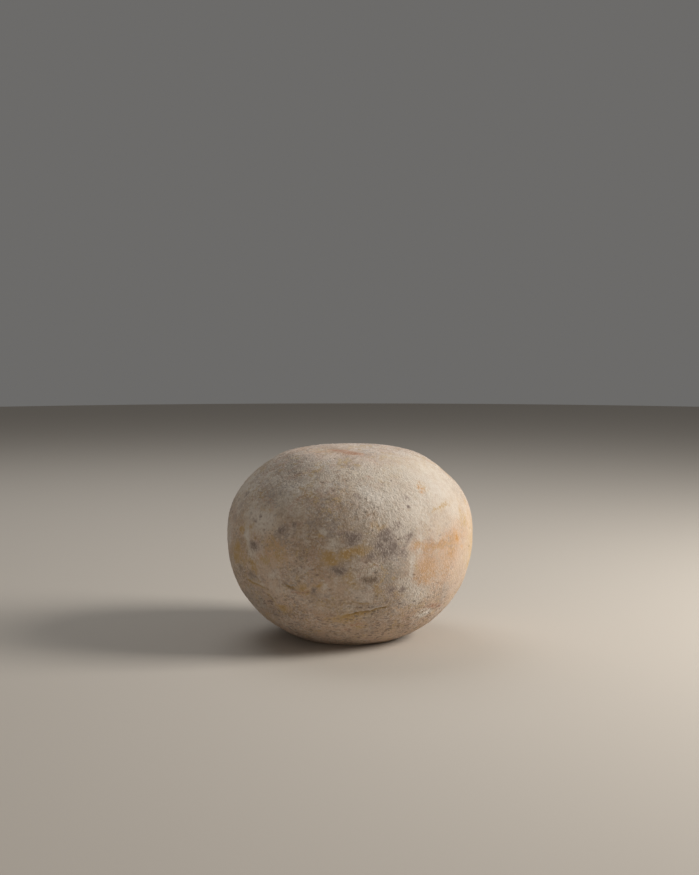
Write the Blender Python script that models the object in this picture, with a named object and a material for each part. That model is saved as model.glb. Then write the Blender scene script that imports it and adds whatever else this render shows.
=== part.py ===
"""A ball of natural-rind cheese: one closed solid, in metres, +Z up, the middle of its foot at the origin.

The ball is a turned form. Below the belt, its widest line, and above it the side is a superellipse,
a curve a little fuller than an ellipse. The top is cut by a low crown with a soft rim, and the foot
is the small flat that the ball has settled on. Slow lobes, dents and three short creases in the
rind then take it away from a true turned form.

Places on the side are an azimuth in degrees, 0 at the front (-Y) and 90 at the right (+X), and a
height above the foot.
"""

import math

import bmesh
import bpy
import numpy as np
from mathutils import Vector

# Driving dimensions
WIDTH = 0.185  # across the belt
HEIGHT = 0.1448  # foot to the middle of the crown on top
BELT_HEIGHT = 0.0784
FOOT_RADIUS = 0.0380
TOP_RADIUS = 0.045

# Shape of the side
SHOULDER_RISE = 0.0688  # belt to the height where the shoulder's curve would close
SHOULDER_FULLNESS = 2.24  # superellipse exponent, 2 for an ellipse
BELLY_FULLNESS = 2.175
SHOULDER_EASE = 0.00125  # how far the shoulder lies inside its curve
EASE_ELEVATION = math.radians(33)  # seen from the middle of the belt
EASE_SPREAD = math.radians(11)

# Shape of the top and the foot
TOP_CROWN = 0.0037  # fall from the middle of the top to its rim
RIM_ROUND = 0.0016
FOOT_ROUND = 0.002  # height over which the side turns in to the foot

# Out of round: (lobes round the ball, height of a lobe, azimuth of the first)
LOBES = ((2, 0.00035, 45), (3, 0.00025, 0), (5, 0.00015, 0))

# Shallow dents: (azimuth, height, radius, depth)
DENTS = (
    (-46, 0.040, 0.016, 0.0006),
    (52, 0.034, 0.018, 0.0005),
    (118, 0.066, 0.026, 0.0008),
    (176, 0.096, 0.024, 0.0007),
    (-128, 0.054, 0.028, 0.0009),
    (-96, 0.108, 0.020, 0.0005),
)

# Creases in the rind: (width, depth, height of the lip above, points of azimuth and height)
CREASES = (
    (0.0011, 0.0010, 0.0003, ((-2, 0.0298), (4, 0.0325), (10, 0.0354), (15, 0.0374), (20, 0.0386))),
    (0.0012, 0.0008, 0.0003, ((-56, 0.0483), (-47, 0.0449), (-41, 0.0398))),
    (0.0012, 0.0007, 0.0003, ((-46, 0.0413), (-41, 0.0344))),
)

# How finely the surface is divided
SEGMENTS = 84
RINGS = 46
PROFILE_SAMPLES = 2000
CREASE_REACHES = (0.0055, 0.0030)  # faces this near a crease are divided once for each reach

RIND_COLOUR = (0.62, 0.51, 0.39, 1.0)
RIND_ROUGHNESS = 0.85

RADIUS = WIDTH / 2
BELT_MIDDLE = Vector((0, 0, BELT_HEIGHT))
BELLY_DROP = BELT_HEIGHT / (1 - (FOOT_RADIUS / RADIUS) ** BELLY_FULLNESS) ** (1 / BELLY_FULLNESS)


def superellipse(elevation, half_height, fullness):
    """Distance from the middle of the belt to the side, in the direction of an elevation."""
    across = (abs(math.cos(elevation)) / RADIUS) ** fullness
    along = (abs(math.sin(elevation)) / half_height) ** fullness
    return (across + along) ** (-1 / fullness)


def side_point(elevation):
    """Radius and height of the side before the top and the foot are cut."""
    if elevation < 0:
        reach = superellipse(elevation, BELLY_DROP, BELLY_FULLNESS)
    else:
        ease = math.exp(-(((elevation - EASE_ELEVATION) / EASE_SPREAD) ** 2))
        reach = superellipse(elevation, SHOULDER_RISE, SHOULDER_FULLNESS) - SHOULDER_EASE * ease
    return reach * math.cos(elevation), BELT_HEIGHT + reach * math.sin(elevation)


def under_crown(radius, height):
    """The height kept under the crown of the top, with a soft rim where the two meet."""
    crown = HEIGHT - TOP_CROWN * (radius / TOP_RADIUS) ** 2
    return (height + crown - math.hypot(height - crown, RIM_ROUND)) / 2


def onto_foot(height):
    """The height near the foot, eased so that the side meets the flat without an edge."""
    if height >= FOOT_ROUND:
        return height
    height = max(height, 0)
    return height**2 * (2 * FOOT_ROUND - height) / FOOT_ROUND**2


def profile_point(elevation):
    radius, height = side_point(elevation)
    return radius, onto_foot(under_crown(radius, height))


def ring_elevations():
    """Elevations that space the rings evenly along the profile, from the foot's edge to the pole."""
    lowest = -math.atan2(BELT_HEIGHT, FOOT_RADIUS)
    elevations = np.linspace(lowest, math.pi / 2, PROFILE_SAMPLES)
    points = np.array([profile_point(elevation) for elevation in elevations])
    steps = np.hypot(*np.diff(points, axis=0).T)
    travelled = np.concatenate([[0], np.cumsum(steps)])
    return np.interp(np.linspace(0, travelled[-1], RINGS), travelled, elevations)


def place(azimuth, radius, height):
    return Vector((radius * math.sin(azimuth), -radius * math.cos(azimuth), height))


def on_side(azimuth_degrees, height):
    """The point of the side at an azimuth and a height."""
    low, high = -math.pi / 2, math.pi / 2
    while high - low > 1e-6:
        middle = (low + high) / 2
        if side_point(middle)[1] < height:
            low = middle
        else:
            high = middle
    return place(math.radians(azimuth_degrees), *side_point(low))


def turned_ball():
    """The ball as turned: rings from the foot to the pole, the foot a flat face."""
    ball = bmesh.new()
    elevations = ring_elevations()
    azimuths = [math.tau * segment / SEGMENTS for segment in range(SEGMENTS)]
    rings = []
    for elevation in elevations[:-1]:
        radius, height = profile_point(elevation)
        rings.append([ball.verts.new(place(azimuth, radius, height)) for azimuth in azimuths])
    pole = ball.verts.new(place(0, 0, profile_point(math.pi / 2)[1]))
    for lower, upper in zip(rings, rings[1:]):
        for i in range(SEGMENTS):
            j = (i + 1) % SEGMENTS
            ball.faces.new((lower[i], lower[j], upper[j], upper[i]))
    for i in range(SEGMENTS):
        ball.faces.new((rings[-1][i], rings[-1][(i + 1) % SEGMENTS], pole))
    ball.faces.new(reversed(rings[0]))
    return ball


def distance_to_path(point, path):
    """Distance from a point to a path of straight runs, and the nearest point on it."""
    nearest = []
    for start, end in zip(path, path[1:]):
        run = end - start
        share = min(1, max(0, (point - start).dot(run) / run.length_squared))
        foot = start + share * run
        nearest.append(((point - foot).length, foot))
    return min(nearest, key=lambda found: found[0])


def divide_near_creases(ball, paths):
    """Divides the faces along the creases, so that they are fine enough to hold them."""
    for reach in CREASE_REACHES:
        near = {
            edge
            for face in ball.faces
            if len(face.verts) < SEGMENTS
            and min(distance_to_path(face.calc_center_median(), path)[0] for path in paths) < reach
            for edge in face.edges
        }
        bmesh.ops.subdivide_edges(ball, edges=list(near), cuts=1, use_grid_fill=True)


def falloff(share):
    """1 at 0, easing down to 0 at 1 and beyond."""
    share = min(1, max(0, share))
    return (1 - share * share) ** 2


def lobe_rise(point):
    """Slow waves round the ball, which fade out towards the foot and the top."""
    azimuth = math.atan2(point.x, -point.y)
    fade = falloff(abs(point.z - BELT_HEIGHT) / (BELT_HEIGHT - FOOT_ROUND))
    waves = (rise * math.cos(count * (azimuth - math.radians(first))) for count, rise, first in LOBES)
    return fade * sum(waves)


def dent_rise(point):
    depths = (
        depth * falloff((point - on_side(azimuth, height)).length / radius)
        for azimuth, height, radius, depth in DENTS
    )
    return -sum(depths)


def crease_rise(point, creases):
    """A groove along each crease, and the low lip that stands above it."""
    rise = 0
    for width, depth, lip, path in creases:
        distance, foot = distance_to_path(point, path)
        rise -= depth * math.exp(-((distance / width) ** 2))
        if point.z > foot.z:
            rise += lip * math.exp(-(((distance - 2 * width) / width) ** 2))
    return rise


def make_uneven(ball, creases):
    """Moves the surface in and out, along the line from the middle of the belt."""
    for vertex in ball.verts:
        point = vertex.co.copy()
        if point.z < FOOT_ROUND:
            continue
        rise = lobe_rise(point) + dent_rise(point) + crease_rise(point, creases)
        vertex.co = point + rise * (point - BELT_MIDDLE).normalized()


def rind_material():
    material = bpy.data.materials.new("natural_rind")
    material.use_nodes = True
    shader = material.node_tree.nodes["Principled BSDF"]
    shader.inputs["Base Color"].default_value = RIND_COLOUR
    shader.inputs["Roughness"].default_value = RIND_ROUGHNESS
    shader.inputs["Metallic"].default_value = 0.0
    material.diffuse_color = RIND_COLOUR
    return material


def make_cheese():
    creases = [
        (width, depth, lip, [on_side(azimuth, height) for azimuth, height in points])
        for width, depth, lip, points in CREASES
    ]
    ball = turned_ball()
    divide_near_creases(ball, [path for *_, path in creases])
    make_uneven(ball, creases)
    bmesh.ops.triangulate(ball, faces=ball.faces)
    bmesh.ops.recalc_face_normals(ball, faces=ball.faces)
    mesh = bpy.data.meshes.new("cheese_ball")
    ball.to_mesh(mesh)
    ball.free()
    mesh.shade_smooth()
    mesh.materials.append(rind_material())
    cheese = bpy.data.objects.new("cheese_ball", mesh)
    bpy.context.scene.collection.objects.link(cheese)


def clear_scene():
    for old in list(bpy.data.objects):
        bpy.data.objects.remove(old, do_unlink=True)


clear_scene()
make_cheese()
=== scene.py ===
"""A ball of aged natural-rind cheese, dressed over its CAD solid, on a pale floor in soft light.

Everything is in metres in the CAD's frame: +Z up, the front of the ball towards -Y, and the middle
of its foot at the origin. A place on the rind is an azimuth, 0 at the front and 90 at the right, and
an elevation seen from the middle of the belt, the ball's widest line, both in degrees.
"""

import math
import random

import bmesh
import bpy
import numpy as np
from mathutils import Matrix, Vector, kdtree
from mathutils import noise as turbulence


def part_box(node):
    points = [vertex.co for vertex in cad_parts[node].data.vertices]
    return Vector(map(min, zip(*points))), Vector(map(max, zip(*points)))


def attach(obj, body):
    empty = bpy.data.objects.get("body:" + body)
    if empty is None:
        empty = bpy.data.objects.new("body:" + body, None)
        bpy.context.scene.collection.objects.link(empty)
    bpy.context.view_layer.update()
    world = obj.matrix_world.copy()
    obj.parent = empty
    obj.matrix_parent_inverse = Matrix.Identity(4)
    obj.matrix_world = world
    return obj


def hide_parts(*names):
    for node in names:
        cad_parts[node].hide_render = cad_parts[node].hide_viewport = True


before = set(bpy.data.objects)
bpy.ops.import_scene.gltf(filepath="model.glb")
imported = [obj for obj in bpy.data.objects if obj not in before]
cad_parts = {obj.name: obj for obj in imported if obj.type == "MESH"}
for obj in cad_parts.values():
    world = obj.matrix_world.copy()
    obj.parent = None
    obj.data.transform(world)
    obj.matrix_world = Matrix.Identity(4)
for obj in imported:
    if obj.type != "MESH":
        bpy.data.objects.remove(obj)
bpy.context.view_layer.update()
BALL_LOW, BALL_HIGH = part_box("cheese_ball")

MM = 0.001

# ---------------------------------------------------------------- sizes of the ball
RADIUS = (BALL_HIGH.x - BALL_LOW.x) / 2
HEIGHT = BALL_HIGH.z + 0.24 * MM  # to the crown before its rim is softened
BELT_HEIGHT = 78.4 * MM
FOOT_RADIUS = 38.0 * MM
TOP_RADIUS = 45.0 * MM
SHOULDER_RISE = 68.8 * MM
SHOULDER_FULLNESS = 2.24
BELLY_FULLNESS = 2.175
BELLY_DROP = BELT_HEIGHT / (1 - (FOOT_RADIUS / RADIUS) ** BELLY_FULLNESS) ** (1 / BELLY_FULLNESS)
SHOULDER_EASE = 1.25 * MM
EASE_ELEVATION = math.radians(33)
EASE_SPREAD = math.radians(11)
TOP_CROWN = 3.7 * MM
RIM_ROUND = 1.6 * MM
FOOT_ROUND = 2.0 * MM
LOBES = ((2, 0.35 * MM, 45), (3, 0.25 * MM, 0), (5, 0.15 * MM, 0))
DIVISIONS = 100  # of the lattice, along each side of its cube

# Shallow dents: azimuth, height, radius, depth
DENTS = (
    (-46, 40 * MM, 16 * MM, 0.6 * MM),
    (52, 34 * MM, 18 * MM, 0.5 * MM),
    (118, 66 * MM, 26 * MM, 0.8 * MM),
    (176, 96 * MM, 24 * MM, 0.7 * MM),
    (-128, 54 * MM, 28 * MM, 0.9 * MM),
    (-96, 108 * MM, 20 * MM, 0.5 * MM),
)

# Creases in the rind: width, depth, lip above, points of azimuth and height
CREASES = (
    (0.9, 1.0, 0.30, ((-3, 29.8), (2, 31.4), (6, 32.6), (11, 33.8), (15, 35.3), (19, 36.7))),
    (1.2, 0.9, 0.40, ((-58, 49.8), (-54, 48.4), (-49, 47.0), (-43.5, 45.4))),
    (1.1, 0.8, 0.35, ((-44.5, 43.0), (-42.5, 39.0), (-41, 35.5))),
    (0.8, 0.7, 0.30, ((-31.2, 51.6), (-28.6, 50.0), (-26.2, 49.6))),
    (0.9, 0.28, 0.30, ((0, 42.6), (3, 40.3), (7, 39.5), (11, 39.9))),
    (0.8, 0.7, 0.25, ((104, 47.0), (110, 44.0), (117, 43.5), (124, 40.5))),
    (0.9, 0.6, 0.25, ((-152, 71.0), (-146, 67.5), (-141, 62.5))),
    (0.8, 0.6, 0.20, ((172, 33.0), (181, 31.5), (188, 33.5))),
)

# Single holes, nicks and, where the depth is below 0, crumbs: azimuth, elevation, radius, depth
HOLES = (
    (-29.0, -17.5, 1.3, 0.9),
    (-27.4, -17.0, 0.9, 0.5),
    (134.0, -9.0, 1.3, 0.8),
    (-112.0, 14.0, 1.1, 0.6),
    (-151.0, 56.8, 1.2, 0.5),
    (-162.0, 55.0, 1.7, 0.6),
    (46.5, -34.6, 2.6, -0.8),
    (43.2, -32.9, 1.7, -0.6),
    (49.5, -35.4, 1.5, -0.35),
)
TORN_RIM = (-154, 57, 15)  # azimuth, elevation and spread of the torn stretch of the top's rim
ROUGHEST = (20, 22, 21)  # the same for the coarsest grain


# ---------------------------------------------------------------- arithmetic in node trees
class Flow:
    """A value or a vector in a node tree, so that a rule can be written as arithmetic."""

    def __init__(self, socket):
        self.socket = socket
        self.tree = socket.id_data
        self.is_vector = socket.type in ("VECTOR", "RGBA")

    def combined(self, operation, *others, clamp=False):
        kind = "ShaderNodeVectorMath" if self.is_vector else "ShaderNodeMath"
        node = self.tree.nodes.new(kind)
        node.operation = operation
        if clamp:
            node.use_clamp = True
        for value, socket in zip((self, *others), node.inputs):
            feed(socket, value)
        outputs = [output for output in node.outputs if output.enabled]
        return Flow(outputs[0])

    def scaled(self, by):
        node = self.tree.nodes.new("ShaderNodeVectorMath")
        node.operation = "SCALE"
        feed(node.inputs[0], self)
        feed(node.inputs["Scale"], by)
        return Flow(node.outputs[0])

    def __add__(self, other):
        return self.combined("ADD", other)

    __radd__ = __add__

    def __sub__(self, other):
        return self.combined("SUBTRACT", other)

    def __rsub__(self, other):
        return self.scaled(-1) + other if self.is_vector else self * -1 + other

    def __mul__(self, other):
        return self.combined("MULTIPLY", other)

    __rmul__ = __mul__

    def __truediv__(self, other):
        return self.combined("DIVIDE", other)

    def __pow__(self, power):
        return self.combined("POWER", power)

    def __abs__(self):
        return self.combined("ABSOLUTE")

    def length(self):
        return self.combined("LENGTH")

    def unit(self):
        return self.combined("NORMALIZE")

    def dot(self, other):
        return self.combined("DOT_PRODUCT", other)

    def cross(self, other):
        return self.combined("CROSS_PRODUCT", other)

    def parts(self):
        node = self.tree.nodes.new("ShaderNodeSeparateXYZ")
        feed(node.inputs[0], self)
        return [Flow(output) for output in node.outputs]


def feed(socket, value):
    """Joins a flow to a socket, or sets the socket to a plain value."""
    if isinstance(value, Flow):
        socket.id_data.links.new(value.socket, socket)
    elif socket.type == "VECTOR" and isinstance(value, (int, float)):
        socket.default_value = (value, value, value)
    else:
        socket.default_value = value


def vector_of(x, y, z):
    tree = next(value.tree for value in (x, y, z) if isinstance(value, Flow))
    node = tree.nodes.new("ShaderNodeCombineXYZ")
    for socket, value in zip(node.inputs, (x, y, z)):
        feed(socket, value)
    return Flow(node.outputs[0])


def lowest(a, b):
    return a.combined("MINIMUM", b)


def highest(a, b):
    return a.combined("MAXIMUM", b)


def sine(angle):
    return angle.combined("SINE")


def cosine(angle):
    return angle.combined("COSINE")


def azimuth_of(position):
    x, y, _ = position.parts()
    return x.combined("ARCTAN2", y * -1)


def held(value):
    """The value kept between 0 and 1."""
    return value.combined("ADD", 0.0, clamp=True)


def eased(value, low, high, start=0.0, end=1.0):
    """A soft step from start to end as the value goes from low to high."""
    node = value.tree.nodes.new("ShaderNodeMapRange")
    node.interpolation_type = "SMOOTHSTEP"
    for name, number in (
        ("Value", value),
        ("From Min", low),
        ("From Max", high),
        ("To Min", start),
        ("To Max", end),
    ):
        feed(node.inputs[name], number)
    return Flow(node.outputs["Result"])


def blended(share, first, second):
    """From first to second as the share goes from 0 to 1."""
    return first + (second - first) * share


def noise(at, size, detail=2.0, roughness=0.5, twist=0.0, shift=0.0):
    """Noise about 0, from about -0.5 to 0.5, with lumps of a size in metres."""
    node = at.tree.nodes.new("ShaderNodeTexNoise")
    feed(node.inputs["Vector"], at + (shift, shift * 0.7, -shift) if shift else at)
    node.inputs["Scale"].default_value = 1 / size
    node.inputs["Detail"].default_value = detail
    node.inputs["Roughness"].default_value = roughness
    node.inputs["Distortion"].default_value = twist
    return Flow(node.outputs["Fac"]) * 2 - 1


def cells(at, size, measure="Distance", feature="F1", randomness=1.0):
    node = at.tree.nodes.new("ShaderNodeTexVoronoi")
    node.feature = feature
    feed(node.inputs["Vector"], at)
    node.inputs["Scale"].default_value = 1 / size
    node.inputs["Randomness"].default_value = randomness
    return Flow(node.outputs[measure])


def towards(azimuth, elevation):
    """The direction of a place on the rind, from the middle of the belt."""
    azimuth, elevation = math.radians(azimuth), math.radians(elevation)
    level = math.cos(elevation)
    return Vector((level * math.sin(azimuth), -level * math.cos(azimuth), math.sin(elevation)))


def around(direction, azimuth, elevation, spread):
    """1 at a place on the rind, easing to 0 at spread degrees from it."""
    nearness = direction.dot(tuple(towards(azimuth, elevation)))
    return eased(nearness, math.cos(math.radians(spread)), 1.0)


# ---------------------------------------------------------------- the rule of the profile
def superellipse(level, upright, half_height, fullness):
    """Distance from the middle of the belt to the side, for a direction's two shares."""
    across = (level * (1 / RADIUS)) ** fullness
    along = (upright * (1 / half_height)) ** fullness
    return (across + along) ** (-1 / fullness)


def under_crown(radius, height):
    """The height kept under the crown of the top, with a soft rim where the two meet."""
    crown = HEIGHT - (radius * (1 / TOP_RADIUS)) ** 2 * TOP_CROWN
    gap = height - crown
    return (height + crown - (gap * gap + RIM_ROUND**2) ** 0.5) * 0.5


def side_point(elevation):
    """Radius and height of the side at an elevation in radians, in plain numbers."""
    level, upright = math.cos(elevation), abs(math.sin(elevation))
    if elevation < 0:
        reach = superellipse(level, upright, BELLY_DROP, BELLY_FULLNESS)
    else:
        reach = superellipse(level, upright, SHOULDER_RISE, SHOULDER_FULLNESS)
        reach -= SHOULDER_EASE * math.exp(-(((elevation - EASE_ELEVATION) / EASE_SPREAD) ** 2))
    return reach * level, BELT_HEIGHT + reach * math.sin(elevation)


def rind_point(azimuth, elevation):
    """The point of the rind at an azimuth and an elevation, in degrees."""
    radius, height = side_point(math.radians(elevation))
    height = max(0.0, under_crown(radius, height))
    return Vector(
        (radius * math.sin(math.radians(azimuth)), -radius * math.cos(math.radians(azimuth)), height)
    )


def elevation_at(height):
    """The elevation, in degrees, at which the side has a height."""
    low, high = -math.pi / 2, math.pi / 2
    while high - low > 1e-6:
        middle = (low + high) / 2
        if side_point(middle)[1] < height:
            low = middle
        else:
            high = middle
    return math.degrees(low)


# ---------------------------------------------------------------- trees and the meshes they make
INPUT_KINDS = {float: "NodeSocketFloat", int: "NodeSocketInt"}


def start_tree(name, inputs):
    """A new tree with named inputs, and its input sockets as flows or, for objects, plain sockets."""
    tree = bpy.data.node_groups.new(name, "GeometryNodeTree")
    tree.interface.new_socket(name="Mesh", in_out="INPUT", socket_type="NodeSocketGeometry")
    for label, value in inputs.items():
        kind = INPUT_KINDS.get(type(value), "NodeSocketObject")
        tree.interface.new_socket(name=label, in_out="INPUT", socket_type=kind)
    tree.interface.new_socket(name="Mesh", in_out="OUTPUT", socket_type="NodeSocketGeometry")
    group_input = tree.nodes.new("NodeGroupInput")
    return tree, {output.name: Flow(output) for output in group_input.outputs if output.name}


def end_tree(tree, geometry, material=None):
    """Ends the tree in realised instances and, for a shown piece, its material."""
    realise = tree.nodes.new("GeometryNodeRealizeInstances")
    feed(realise.inputs["Geometry"], geometry)
    geometry = Flow(realise.outputs[0])
    if material:
        finish = tree.nodes.new("GeometryNodeSetMaterial")
        feed(finish.inputs["Geometry"], geometry)
        finish.inputs["Material"].default_value = material
        geometry = Flow(finish.outputs[0])
    group_output = tree.nodes.new("NodeGroupOutput")
    feed(group_output.inputs[0], geometry)


def made_by(tree, inputs, name, mesh=None):
    """An object with the plain mesh that a tree makes, and no modifier left on it."""
    piece = bpy.data.objects.new(name, mesh or bpy.data.meshes.new(name))
    bpy.context.scene.collection.objects.link(piece)
    modifier = piece.modifiers.new("maker", "NODES")
    modifier.node_group = tree
    for item in tree.interface.items_tree:
        if item.in_out == "INPUT" and item.name in inputs:
            modifier[item.identifier] = inputs[item.name]
    graph = bpy.context.evaluated_depsgraph_get()
    made = bpy.data.meshes.new_from_object(piece.evaluated_get(graph))
    made.name = name
    piece.modifiers.remove(modifier)
    piece.data = made
    return piece


def discard(piece):
    bpy.data.objects.remove(piece, do_unlink=True)


def position_field(tree):
    return Flow(tree.nodes.new("GeometryNodeInputPosition").outputs[0])


def normal_field(tree):
    return Flow(tree.nodes.new("GeometryNodeInputNormal").outputs[0])


def moved(geometry, position=None, offset=None):
    node = geometry.tree.nodes.new("GeometryNodeSetPosition")
    feed(node.inputs["Geometry"], geometry)
    if position is not None:
        feed(node.inputs["Position"], position)
    if offset is not None:
        feed(node.inputs["Offset"], offset)
    return Flow(node.outputs[0])


def kept(geometry, name, value):
    """Stores a value on the mesh's points under a name."""
    node = geometry.tree.nodes.new("GeometryNodeStoreNamedAttribute")
    node.data_type = "FLOAT"
    node.domain = "POINT"
    feed(node.inputs["Geometry"], geometry)
    node.inputs["Name"].default_value = name
    feed(node.inputs["Value"], value)
    return Flow(node.outputs[0])


def named(tree, name):
    node = tree.nodes.new("GeometryNodeInputNamedAttribute")
    node.data_type = "FLOAT"
    node.inputs["Name"].default_value = name
    return Flow(node.outputs["Attribute"])


# ---------------------------------------------------------------- the turned form
def lobes_and_dents(position):
    """How far the form lies out of round, along the line from the middle of the belt."""
    fade = held(abs(position.parts()[2] - BELT_HEIGHT) * (1 / (BELT_HEIGHT - FOOT_ROUND)))
    fade = (1 - fade * fade) ** 2
    azimuth = azimuth_of(position)
    rise = 0
    for count, height, first in LOBES:
        rise = cosine((azimuth - math.radians(first)) * count) * height * fade + rise
    for azimuth_degrees, height, radius, depth in DENTS:
        middle = rind_point(azimuth_degrees, elevation_at(height))
        share = held((position - tuple(middle)).length() * (1 / radius))
        rise = rise - (1 - share * share) ** 2 * depth
    return rise


def form_tree():
    """A lattice over a cube, moved out onto the side, the crown and the foot of the ball."""
    inputs = {
        "Belt Height": BELT_HEIGHT,
        "Foot Round": FOOT_ROUND,
        "Divisions": DIVISIONS,
    }
    tree, given = start_tree("turned_ball", inputs)
    belt_height, foot_round = given["Belt Height"], given["Foot Round"]
    cube = tree.nodes.new("GeometryNodeMeshCube")
    cube.inputs["Size"].default_value = (2, 2, 2)
    for name in ("Vertices X", "Vertices Y", "Vertices Z"):
        feed(cube.inputs[name], given["Divisions"] + 1)
    at = position_field(tree)
    direction = (at * (math.pi / 4)).combined("TANGENT").unit()
    _, _, rise = direction.parts()
    level = (direction * (1, 1, 0)).length()
    elevation = rise.combined("ARCSINE")
    ease = (elevation - EASE_ELEVATION) * (1 / EASE_SPREAD)
    ease = (ease * ease * -1).combined("EXPONENT") * SHOULDER_EASE
    shoulder = superellipse(level, abs(rise), SHOULDER_RISE, SHOULDER_FULLNESS) - ease
    belly = superellipse(level, abs(rise), BELLY_DROP, BELLY_FULLNESS)
    belly = lowest(belly, belt_height / highest(abs(rise), 0.05))
    below = rise.combined("LESS_THAN", 0.0)
    reach = blended(below, shoulder, belly)
    height = under_crown(reach * level, rise * reach + belt_height)
    low = held(height / foot_round)
    height = low * low * (2 - low) * foot_round + highest(height - foot_round, 0.0)
    x, y, _ = direction.scaled(reach).parts()
    ball = moved(Flow(cube.outputs["Mesh"]), position=vector_of(x, y, height))
    at = position_field(tree)
    outward = (at - (0, 0, BELT_HEIGHT)).unit()
    fade = eased(at.parts()[2], FOOT_ROUND, FOOT_ROUND * 3)
    ball = moved(ball, offset=outward.scaled(lobes_and_dents(at) * fade))
    end_tree(tree, ball)
    return tree, inputs


# ---------------------------------------------------------------- pits, creases and holes
def pitted_band(tree, direction):
    """Pits crowd the band under the belt, in patches."""
    elevation = direction.parts()[2].combined("ARCSINE") * (180 / math.pi)
    band = eased(elevation, -68, -48) * eased(elevation, -12, -28)
    patches = eased(noise(position_field(tree), 24 * MM), -0.4, 0.3, 0.2, 1.0)
    return band * patches * (1 - around(direction, 66, -16, 24))


def pit_density(tree, direction):
    elevation = direction.parts()[2].combined("ARCSINE") * (180 / math.pi)
    sparse = eased(elevation, 62, 20, 0.02, 0.08)
    return (pitted_band(tree, direction) + sparse) * (speck_strength(direction) + 0.1)


def pits_tree():
    """Points over the rind, one for each pit, with its radius, depth, length and darkness."""
    inputs = {"Spacing": 3.4 * MM, "Density": 70000.0, "Seed": 7}
    tree, given = start_tree("pits", inputs)
    direction = (position_field(tree) - (0, 0, BELT_HEIGHT)).unit()
    scatter = tree.nodes.new("GeometryNodeDistributePointsOnFaces")
    scatter.distribute_method = "POISSON"
    feed(scatter.inputs["Mesh"], given["Mesh"])
    feed(scatter.inputs["Distance Min"], given["Spacing"])
    feed(scatter.inputs["Density Max"], given["Density"])
    feed(scatter.inputs["Density Factor"], pit_density(tree, direction))
    feed(scatter.inputs["Seed"], given["Seed"])
    to_mesh = tree.nodes.new("GeometryNodePointsToVertices")
    feed(to_mesh.inputs[0], Flow(scatter.outputs["Points"]))
    points = Flow(to_mesh.outputs[0])
    for number, (name, low, high) in enumerate(
        (
            ("radius", 0.65 * MM, 1.25 * MM),
            ("depth", 0.2 * MM, 0.55 * MM),
            ("stretch", 1.1, 2.6),
            ("darkness", 0.3, 1.0),
        )
    ):
        chance = tree.nodes.new("FunctionNodeRandomValue")
        chance.data_type = "FLOAT"
        feed(chance.inputs[2], low)
        feed(chance.inputs[3], high)
        feed(chance.inputs["Seed"], 11 + number)
        points = kept(points, name, Flow(chance.outputs[1]))
    end_tree(tree, points)
    return tree, inputs


def make_points(name, rows, labels):
    """A mesh of bare points with named values on them."""
    mesh = bpy.data.meshes.new(name)
    mesh.from_pydata([row[0] for row in rows], [], [])
    for number, label in enumerate(labels, start=1):
        attribute = mesh.attributes.new(label, "FLOAT", "POINT")
        attribute.data.foreach_set("value", [row[number] for row in rows])
    piece = bpy.data.objects.new(name, mesh)
    bpy.context.scene.collection.objects.link(piece)
    return piece


def crease_points():
    """Points close together along every crease, fading towards its ends."""
    rows = []
    for width, depth, lip, path in CREASES:
        corners = [(azimuth, elevation_at(height * MM)) for azimuth, height in path]
        runs = list(zip(corners, corners[1:]))
        count = 60
        for number, (start, end) in enumerate(runs):
            for step in range(count):
                share = step / count
                whole = (number + share) / len(runs)
                fade = min(1.0, 4.5 * min(whole, 1 - whole) + 0.12)
                wander = 0.35 * math.sin(whole * 17 + width * 9)
                azimuth = start[0] + share * (end[0] - start[0])
                elevation = start[1] + share * (end[1] - start[1]) + wander * fade * 0.6
                place = rind_point(azimuth, elevation)
                rows.append((place, width * MM, depth * MM * fade, lip * MM * fade))
    return make_points("crease_points", rows, ("radius", "depth", "lip"))


def hole_points():
    rows = [
        (rind_point(azimuth, elevation), radius * MM, depth * MM)
        for azimuth, elevation, radius, depth in HOLES
    ]
    return make_points("hole_points", rows, ("radius", "depth"))


def divide_near(mesh, spots, reach, keep_if=None):
    """Divides the faces near some spots once, so that they can hold fine relief."""
    tree = kdtree.KDTree(len(spots))
    for number, spot in enumerate(spots):
        tree.insert(spot, number)
    tree.balance()
    shape = bmesh.new()
    shape.from_mesh(mesh)
    edges = {
        edge
        for face in shape.faces
        if tree.find(face.calc_center_median())[2] < reach
        for edge in face.edges
    }
    bmesh.ops.subdivide_edges(shape, edges=list(edges), cuts=1, use_grid_fill=True)
    shape.to_mesh(mesh)
    shape.free()


def divide_around(mesh, azimuth, elevation, spread):
    """Divides the faces around a place on the rind once."""
    middle = towards(azimuth, elevation)
    limit = math.cos(math.radians(spread))
    belt_middle = Vector((0, 0, BELT_HEIGHT))
    shape = bmesh.new()
    shape.from_mesh(mesh)
    edges = {
        edge
        for face in shape.faces
        if (face.calc_center_median() - belt_middle).normalized().dot(middle) > limit
        for edge in face.edges
    }
    bmesh.ops.subdivide_edges(shape, edges=list(edges), cuts=1, use_grid_fill=True)
    shape.to_mesh(mesh)
    shape.free()


# ---------------------------------------------------------------- relief of the rind
def nearest(tree, geometry, at, labels):
    """Where the nearest point of a set lies, and its named values."""
    find = tree.nodes.new("GeometryNodeSampleNearest")
    feed(find.inputs["Geometry"], geometry)
    feed(find.inputs["Sample Position"], at)
    index = Flow(find.outputs["Index"])

    def taken(kind, value):
        take = tree.nodes.new("GeometryNodeSampleIndex")
        take.data_type = kind
        feed(take.inputs["Geometry"], geometry)
        feed(take.inputs["Value"], value)
        feed(take.inputs["Index"], index)
        return Flow(take.outputs["Value"])

    place = taken("FLOAT_VECTOR", position_field(tree))
    return place, [taken("FLOAT", named(tree, label)) for label in labels]


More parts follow.
